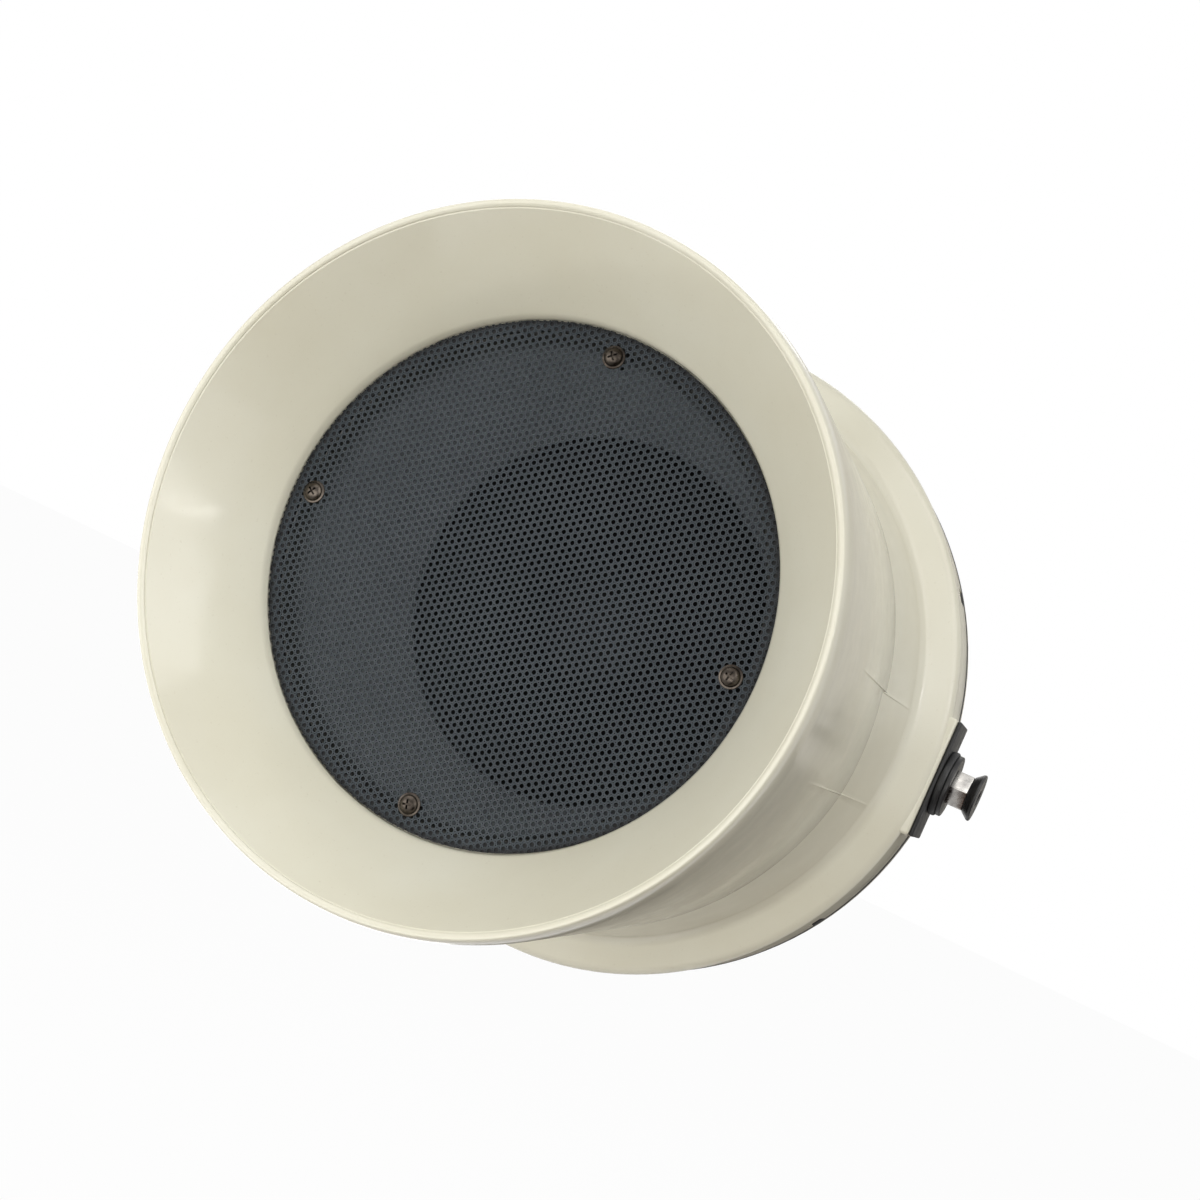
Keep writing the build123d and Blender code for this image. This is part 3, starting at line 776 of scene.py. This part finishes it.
# Grille screws
def build_grille_screws():
    seat = GRILLE_FRONT - RIM_FRONT
    top = seat - SCREW_HEAD_H
    flange_t = 0.25 * SCREW_HEAD_H
    section = arc((0, top), (0.62 * SCREW_HEAD_R, top + 0.22), (0.97 * SCREW_HEAD_R, top + 0.95), 7)
    section += [
        (SCREW_HEAD_R, top + 1.3, 0.15),
        (SCREW_HEAD_R, seat - flange_t, 0.15),
        (SCREW_FLANGE_R, seat - 0.8 * flange_t, 0.2),
        (SCREW_FLANGE_R, seat),
        (SCREW_SHANK_R, seat),
        (SCREW_SHANK_R, SCREW_END - RIM_FRONT - 1.2),
        (0, SCREW_END - RIM_FRONT),
    ]
    head = turned(section, 40, 3, closed=False)
    screw = piece("grille_screw_heads", head, "bronze_screw", SHARP_SMALL)
    tip = top + RIM_FRONT + RECESS_DEEP
    for long, short in ((RECESS_LONG, RECESS_SHORT), (RECESS_SHORT, RECESS_LONG)):
        recess = bmesh.new()
        box_of(recess, (-long, top + RIM_FRONT - 1, -short), (long, tip, short))
        low = [v for v in recess.verts if v.co.y > (tip - 0.1) * MM]
        bmesh.ops.scale(recess, vec=(RECESS_TAPER, 1, RECESS_TAPER), verts=low)
        cut(screw, recess)
    one = bmesh.new()
    one.from_mesh(screw.data)
    all_four = bmesh.new()
    for i, twist in enumerate(SCREW_TURNS):
        copy = one.copy()
        spin = Matrix.Rotation(radians(twist), 3, "Y")
        bmesh.ops.rotate(copy, verts=copy.verts[:], matrix=spin)
        turn = i * pi / 2
        place = Vector((cos(turn), 0, sin(turn))) * SCREW_CIRCLE_R * MM
        bmesh.ops.translate(copy, vec=place, verts=copy.verts[:])
        join(all_four, copy)
    one.free()
    all_four.to_mesh(screw.data)
    all_four.free()
    smooth(screw.data, SHARP_SMALL)
    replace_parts(screw, "grille_screws")


# Soft rings: the seal of the rear cover and the surround of the cone
def build_seal():
    low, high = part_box("cover_seal")
    front = low.y / MM - RIM_FRONT - SEAL_LAP
    back = high.y / MM - RIM_FRONT
    outer = high.z / MM
    edge_r = outer - SEAL_BULGE
    bulge = arc((edge_r, back), (outer, (front + back) / 2), (edge_r, front), 8)
    section = [(SEAL_IN, front, SEAL_EDGE), (SEAL_IN, back, SEAL_EDGE), *bulge]
    ring = piece("seal_ring", turned(section), "black_rubber")
    holes = bmesh.new()
    for i in range(COVER_SCREWS):
        turn = 2 * pi * (i + 0.5) / COVER_SCREWS
        middle = Vector((cos(turn), 0, sin(turn))) * COVER_SCREW_CIRCLE_R * MM
        middle.y = (low.y + high.y) / 2
        place = Matrix.Translation(middle) @ Matrix.Rotation(pi / 2, 4, "X")
        bmesh.ops.create_cone(
            holes, cap_ends=True, segments=24, radius1=COVER_HOLE_R * MM, radius2=COVER_HOLE_R * MM,
            depth=COVER_HOLE_LEN * MM, matrix=place,
        )
    cut(ring, holes)
    smooth(ring.data, SHARP_SMALL)
    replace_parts(ring, "cover_seal")


def build_surround():
    """A half roll in sectors between the cone's edge and the basket."""
    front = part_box("surround")[1].y / MM - RIM_FRONT - ROLL_T
    back = front + ROLL_T
    crest = (ROLL_IN + ROLL_OUT) / 2
    section = [(SURROUND_IN, front)]
    section += arc((ROLL_IN, front), (crest, front - ROLL_H), (ROLL_OUT, front), 12)
    section += [(SURROUND_OUT, front), (SURROUND_OUT, back)]
    section += arc(
        (ROLL_OUT - ROLL_T, back), (crest, back - ROLL_H_BACK), (ROLL_IN + ROLL_T, back), 10,
    )
    section += [(SURROUND_IN, back)]
    step = 2 * pi / SURROUND_SECTORS
    for i in range(SURROUND_SECTORS):
        bm = bmesh.new()
        bm.faces.new([bm.verts.new(spot(radius, depth)) for radius, depth in section])
        bmesh.ops.spin(
            bm, geom=bm.verts[:] + bm.edges[:] + bm.faces[:], axis=(0, 1, 0), cent=(0, 0, 0),
            angle=step, steps=6,
        )
        turn = Matrix.Rotation((i - 0.5) * step, 3, "Y")
        bmesh.ops.rotate(bm, verts=bm.verts[:], matrix=turn)
        bmesh.ops.recalc_face_normals(bm, faces=bm.faces[:])
        made = shown("surround_part_%02d" % (i + 1), bm, "roll_rubber", SHARP_SMALL)
        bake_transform(made)
        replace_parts(made, "surround")


# Tilt posts on both sides
def side_turned(corners):
    """A section of (radius, distance from the middle) corners spun about X, on both sides."""
    bm = turned([(c[0], c[1] - RIM_FRONT, *c[2:]) for c in corners], POST_STEPS, 4)
    bmesh.ops.rotate(bm, verts=bm.verts[:], matrix=Matrix.Rotation(-pi / 2, 3, "Z"))
    mirrored(bm)
    return bm


def side_ring(bore, radius, x0, x1, edge):
    return side_turned([(bore, x0), (bore, x1), (radius, x1, edge), (radius, x0, edge)])


def build_posts():
    pads = bmesh.new()
    low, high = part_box("pivot_pads")
    box_of(pads, (BOSS_X, low.y / MM, low.z / MM), (PAD_X, high.y / MM, high.z / MM), 0.7, 3)
    mirrored(pads)
    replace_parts(piece("boss_pads", pads, "black_rubber"), "pivot_pads")
    bore = THREAD_R + THREAD_PLAY
    cushion = side_ring(bore, CUSHION_R, PAD_X, CUSHION_X, 0.9)
    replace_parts(piece("post_cushions", cushion, "black_rubber"), "pivot_cushions")
    washer = side_ring(bore, WASHER_R, CUSHION_X, WASHER_X, 0.45)
    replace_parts(piece("post_washers", washer, "black_plastic"), "pivot_washers")
    collar = side_turned([
        (COLLAR_BORE_R, POST_X, 0.2), (COLLAR_BORE_R, COLLAR_X, 0.3), (COLLAR_R, COLLAR_X, 0.5),
        (COLLAR_R, COLLAR_X - 1.0, 0.4), (POST_AF / 2 + 0.3, POST_X, 0.3),
    ])
    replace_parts(piece("post_collars", collar, "black_plastic"), "pivot_collars")
    posts = bmesh.new()
    outward = Matrix.Translation((WASHER_X * MM, 0, 0)) @ Matrix.Rotation(pi / 2, 4, "Y")
    bmesh.ops.create_circle(
        posts, segments=6, radius=POST_AF / sqrt(3) * MM, cap_ends=True, matrix=outward,
    )
    grown = bmesh.ops.extrude_face_region(posts, geom=posts.faces[:])["geom"]
    far = [v for v in grown if isinstance(v, bmesh.types.BMVert)]
    bmesh.ops.translate(posts, verts=far, vec=((POST_X - WASHER_X) * MM, 0, 0))
    bmesh.ops.recalc_face_normals(posts, faces=posts.faces[:])
    bmesh.ops.bevel(
        posts, geom=posts.edges[:], offset=POST_EDGE * MM, segments=3, profile=0.5,
        affect="EDGES", material=-1,
    )
    end = max(posts.faces, key=lambda f: f.calc_center_median().x)
    bmesh.ops.inset_region(posts, faces=[end], thickness=(POST_AF / 2 - BORE_R - 0.6) * MM)
    hole = bmesh.ops.extrude_face_region(posts, geom=[end])["geom"]
    floor = [v for v in hole if isinstance(v, bmesh.types.BMVert)]
    bmesh.ops.translate(posts, verts=floor, vec=(-BORE_DEEP * MM, 0, 0))
    mirrored(posts)
    join(posts, side_ring(STUD_BORE_R, THREAD_R, POST_IN, WASHER_X, 0.3))
    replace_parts(piece("post_hexagons", posts, "post_steel"), "pivot_posts")


build_housing()
build_grille()
build_grille_screws()
build_seal()
build_surround()
build_posts()


# Floor, light and camera
def add(tree, kind, *feeds, **values):
    """A node with values set on some of its sockets and other nodes' outputs linked to others."""
    made = tree.nodes.new(kind)
    for socket, value in values.items():
        made.inputs[socket].default_value = value
    for socket, out in feeds:
        tree.links.new(out, made.inputs[socket])
    return made


def larger(tree, first, second):
    made = add(tree, "ShaderNodeMath", (0, first), (1, second))
    made.operation = "MAXIMUM"
    return made.outputs[0]


def seen_directly(tree):
    """One for rays from the camera, from mirrors and through glass, and zero for bounced light."""
    path = add(tree, "ShaderNodeLightPath").outputs
    opaque = larger(tree, path["Is Camera Ray"], path["Is Glossy Ray"])
    return larger(tree, opaque, path["Is Transmission Ray"])


def stage_sheet(name, half):
    """A flat square sheet of the studio."""
    bm = bmesh.new()
    bmesh.ops.create_grid(bm, x_segments=1, y_segments=1, size=half)
    mesh = bpy.data.meshes.new(name)
    bm.to_mesh(mesh)
    bm.free()
    made = bpy.data.objects.new(name, mesh)
    bpy.context.scene.collection.objects.link(made)
    return made


def pale_floor():
    floor = stage_sheet("floor", FLOOR_HALF)
    floor.location.z = FLOOR_Z
    finish = bpy.data.materials.new("pale_floor")
    finish.use_nodes = True
    tree = finish.node_tree
    tree.nodes.clear()
    diffuse = add(tree, "ShaderNodeBsdfDiffuse", Color=(0.86, 0.86, 0.85, 1))
    glow = add(tree, "ShaderNodeEmission", Strength=1.0)
    share = add(tree, "ShaderNodeMath", (0, seen_directly(tree)))
    share.operation = "MULTIPLY"
    share.inputs[1].default_value = FLOOR_WHITE
    feeds = (0, share.outputs[0]), (1, diffuse.outputs[0]), (2, glow.outputs[0])
    mix = add(tree, "ShaderNodeMixShader", *feeds)
    add(tree, "ShaderNodeOutputMaterial", ("Surface", mix.outputs[0]))
    floor.data.materials.append(finish)


def studio_world():
    world = bpy.data.worlds.new("studio")
    bpy.context.scene.world = world
    world.use_nodes = True
    tree = world.node_tree
    tree.nodes.clear()
    soft = add(tree, "ShaderNodeBackground", Color=(1.0, 0.97, 0.93, 1), Strength=SOFT_LIGHT)
    white = add(tree, "ShaderNodeBackground", Color=(1, 1, 1, 1), Strength=1.0)
    feeds = (0, seen_directly(tree)), (1, soft.outputs[0]), (2, white.outputs[0])
    mix = add(tree, "ShaderNodeMixShader", *feeds)
    add(tree, "ShaderNodeOutputWorld", ("Surface", mix.outputs[0]))


def direction(azimuth, elevation):
    """Unit vector to a place: azimuth 0 is in front of the mouth, 90 on the speaker's +X side."""
    turn, rise = radians(azimuth), radians(elevation)
    return Vector((sin(turn) * cos(rise), -cos(turn) * cos(rise), sin(rise)))


def softbox(name, azimuth, elevation, distance, size, level, colour=(1, 1, 1)):
    """An area lamp facing the speaker; level is the brightness of its face, where 1 is white."""
    data = bpy.data.lights.new(name, "AREA")
    data.shape = "RECTANGLE"
    data.size, data.size_y = size
    data.energy = level * pi * size[0] * size[1]
    data.color = colour
    made = bpy.data.objects.new(name, data)
    made.location = direction(azimuth, elevation) * distance
    made.rotation_euler = (-made.location).to_track_quat("-Z", "Y").to_euler()
    made.visible_camera = False
    bpy.context.scene.collection.objects.link(made)


def card(name, azimuth, elevation, distance, size, colour):
    """A coloured studio card outside the picture, seen only in reflections and bounced light."""
    made = stage_sheet(name, 0.5)
    made.location = direction(azimuth, elevation) * distance
    made.rotation_euler = (-made.location).to_track_quat("Z", "Y").to_euler()
    made.scale = (size[0], size[1], 1)
    made.visible_camera = False
    made.visible_shadow = False
    finish = bpy.data.materials.new(name)
    finish.use_nodes = True
    shader = finish.node_tree.nodes["Principled BSDF"]
    shader.inputs["Base Color"].default_value = colour
    shader.inputs["Roughness"].default_value = 1.0
    made.data.materials.append(finish)


def place_camera():
    lean, tilt, roll = radians(AXIS_LEAN), radians(AXIS_TILT), radians(POST_ROLL)
    rear = Vector((sin(tilt) * cos(lean), sin(tilt) * sin(lean), cos(tilt)))
    down = Vector((-sin(lean), cos(lean), 0))
    side = down.cross(rear) * cos(roll) + down * sin(roll)
    up = side.cross(rear)
    turn = Matrix((side, rear, up)).transposed()
    mouth = Vector((0, RIM_FRONT, 0))
    place = turn.transposed() @ (turn @ mouth - MOUTH_FROM_CAMERA) * MM
    data = bpy.data.cameras.new("camera")
    data.lens = LENS
    data.sensor_width = SENSOR
    data.clip_start = 0.01
    camera = bpy.data.objects.new("camera", data)
    axes = Matrix((turn[0], -Vector(turn[1]), -Vector(turn[2]))).transposed()
    camera.matrix_world = Matrix.Translation(place) @ axes.to_4x4()
    bpy.context.scene.collection.objects.link(camera)
    bpy.context.scene.camera = camera


pale_floor()
studio_world()
softbox("key", 48, 34, 2.2, (2.1, 2.1), 2.2, (1.0, 1.0, 0.98))
softbox("top_left", -35, 48, 2.2, (1.6, 1.4), 1.35, (1.0, 0.99, 0.96))
softbox("low_front", -18, -10, 1.6, (2.3, 1.0), 2.1, (1.0, 0.99, 0.96))
softbox("low_left", -120, -28, 1.2, (1.9, 0.9), 1.4, (1.0, 0.99, 0.97))
softbox("rear_left", -150, 30, 2.2, (1.8, 1.8), 1.0, (1.0, 0.98, 0.95))
softbox("spark", 70, 17, 1.45, (0.16, 0.07), 10.0)
card("warm_card", 62, -40, 0.75, (1.2, 0.85), srgb(84, 60, 46))
card("back_high", 166, 14, 1.3, (1.3, 0.85), srgb(224, 220, 212))
card("back_low", 166, -14, 1.36, (1.4, 0.84), srgb(118, 114, 106))
place_camera()
bpy.context.scene.view_settings.view_transform = "Standard"
